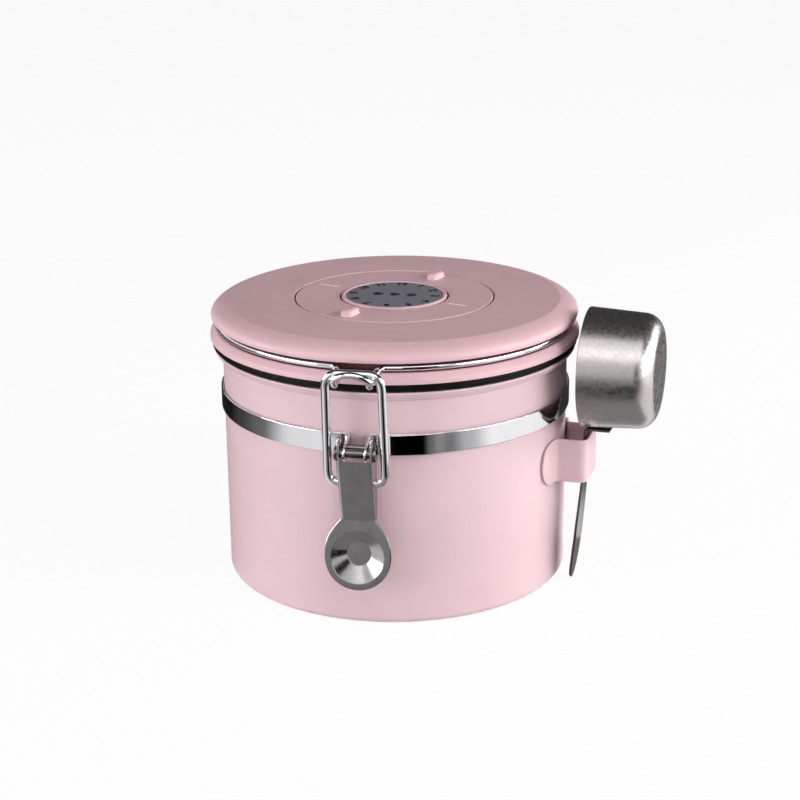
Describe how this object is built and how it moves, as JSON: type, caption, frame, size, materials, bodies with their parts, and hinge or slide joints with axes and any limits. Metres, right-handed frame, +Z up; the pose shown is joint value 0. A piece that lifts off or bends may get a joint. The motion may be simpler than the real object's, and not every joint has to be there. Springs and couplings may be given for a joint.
{
  "type": "coffee canister",
  "caption": "Round coated-steel coffee canister with a wire-bail lid, toggle latch, month dial, degassing valve and a scoop held on its side.",
  "frame": {"origin": "middle of the canister's flat base, on the plane it stands on", "axes": "+Z up along the can's axis, -Y out through the toggle latch (the front), +Y out through the lid's hinge, +X towards the scoop's side"},
  "size_m": [0.1661, 0.1536, 0.1042],
  "materials": {
    "coated_pink": "fine powder coat, satin",
    "plastic_pink": "matt moulded plastic",
    "label_grey": "satin printed face",
    "seal_black": "smooth silicone",
    "bright_steel": "polished stainless steel",
    "satin_steel": "satin stainless steel",
    "brushed_steel": "brushed stainless steel",
    "valve_white": "plain moulded plastic",
    "filter_felt": "pressed felt"
  },
  "bodies": {
    "canister": {"canister_body": "coated_pink", "strap": "bright_steel", "strap_tab": "bright_steel", "clamp_pin": "satin_steel", "lever_pin": "satin_steel", "hinge_bracket": "bright_steel", "scoop_holder": "coated_pink"},
    "bail": {"lid_wire": "bright_steel"},
    "lid": {"lid_cap": "plastic_pink", "lid_base": "plastic_pink", "gasket": "seal_black", "month_bezel": "plastic_pink", "month_label": "label_grey", "dial_screw": "bright_steel", "valve_housing": "valve_white", "valve_flap": "seal_black", "filter_pad": "filter_felt", "filter_cover": "valve_white"},
    "dial": {"dial_ring": "plastic_pink"},
    "lever": {"latch_lever": "satin_steel"},
    "link": {"latch_link": "bright_steel"},
    "scoop": {"scoop_cup": "brushed_steel", "scoop_handle": "brushed_steel"}
  },
  "joints": [
    {"name": "lid_hinge", "type": "hinge", "parent": "canister", "child": "bail", "pos_m": [0, 0.071, 0.08], "axis": [-1, 0, 0], "range_deg": [0, 105]},
    {"name": "lid_turn", "type": "hinge", "parent": "bail", "child": "lid", "pos_m": [0, 0, 0.0926], "axis": [0, 0, 1], "continuous": true},
    {"name": "dial_turn", "type": "hinge", "parent": "lid", "child": "dial", "pos_m": [0, 0, 0.102], "axis": [0, 0, 1], "continuous": true},
    {"name": "latch_swing", "type": "hinge", "parent": "canister", "child": "lever", "pos_m": [0, -0.0712, 0.066], "axis": [-1, 0, 0], "range_deg": [0, 100]},
    {"name": "link_swing", "type": "hinge", "parent": "lever", "child": "link", "pos_m": [0, -0.07, 0.0551], "axis": [-1, 0, 0], "range_deg": [-75, 0]},
    {"name": "scoop_lift", "type": "slide", "parent": "canister", "child": "scoop", "axis": [0.0064, 0.0607, 0.9981], "range_m": [0, 0.058]}
  ],
  "couplings": [
    {"joint": "link_swing", "follows": "latch_swing", "ratio": -0.75}
  ]
}
